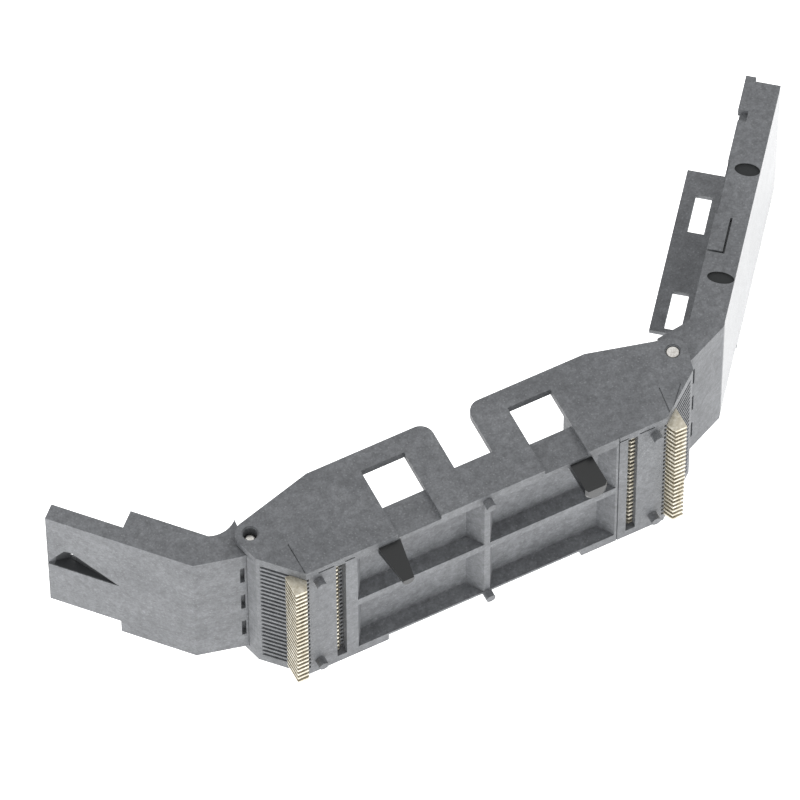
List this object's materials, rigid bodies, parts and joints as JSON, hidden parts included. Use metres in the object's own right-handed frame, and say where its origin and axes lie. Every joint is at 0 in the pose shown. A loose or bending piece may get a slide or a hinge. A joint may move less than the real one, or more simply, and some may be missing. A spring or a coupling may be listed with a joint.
{
  "type": "clamshell chip test socket",
  "caption": "Narrow surface-mount clamshell socket for a thin small-outline chip: combed ends with stamped contacts, side windows and two unequal lids on end pins.",
  "frame": {"origin": "middle of the board-side face of the base, on the crossing of its ribs", "axes": "+X along the socket towards the long lid, +Y from the board face to the side that takes the chip, +Z across the socket along the contact rows, up as it stands in the picture"},
  "size_m": [0.0612, 0.0277, 0.0136],
  "materials": {
    "body_plastic": "glass-filled liquid crystal polymer, fine grain",
    "pin_steel": "ground bright steel",
    "contact_metal": "tin-plated copper alloy, satin"
  },
  "bodies": {
    "socket": {"base": "body_plastic", "hinge_pin_left": "pin_steel", "hinge_pin_right": "pin_steel", "contact_left_01": "contact_metal", "contact_left_02": "contact_metal", "contact_left_03": "contact_metal", "contact_left_04": "contact_metal", "contact_left_05": "contact_metal", "contact_left_06": "contact_metal", "contact_left_07": "contact_metal", "contact_left_08": "contact_metal", "contact_left_09": "contact_metal", "contact_left_10": "contact_metal", "contact_left_11": "contact_metal", "contact_left_12": "contact_metal", "contact_left_13": "contact_metal", "contact_left_14": "contact_metal", "contact_left_15": "contact_metal", "contact_left_16": "contact_metal", "contact_left_17": "contact_metal", "contact_left_18": "contact_metal", "contact_left_19": "contact_metal", "contact_left_20": "contact_metal", "contact_left_21": "contact_metal", "contact_left_22": "contact_metal", "contact_left_23": "contact_metal", "contact_left_24": "contact_metal", "contact_right_01": "contact_metal", "contact_right_02": "contact_metal", "contact_right_03": "contact_metal", "contact_right_04": "contact_metal", "contact_right_05": "contact_metal", "contact_right_06": "contact_metal", "contact_right_07": "contact_metal", "contact_right_08": "contact_metal", "contact_right_09": "contact_metal", "contact_right_10": "contact_metal", "contact_right_11": "contact_metal", "contact_right_12": "contact_metal", "contact_right_13": "contact_metal", "contact_right_14": "contact_metal", "contact_right_15": "contact_metal", "contact_right_16": "contact_metal", "contact_right_17": "contact_metal", "contact_right_18": "contact_metal", "contact_right_19": "contact_metal", "contact_right_20": "contact_metal", "contact_right_21": "contact_metal", "contact_right_22": "contact_metal", "contact_right_23": "contact_metal", "contact_right_24": "contact_metal"},
    "left_lid": {"door_left": "body_plastic"},
    "right_lid": {"door_right": "body_plastic"}
  },
  "joints": [
    {"name": "left_lid_hinge", "type": "hinge", "parent": "socket", "child": "left_lid", "pos_m": [-0.01615, 0.0046, 0], "axis": [0, 0, 1], "range_deg": [-132.5, 0]},
    {"name": "right_lid_hinge", "type": "hinge", "parent": "socket", "child": "right_lid", "pos_m": [0.01615, 0.0046, 0], "axis": [0, 0, 1], "range_deg": [0, 131.7]}
  ]
}
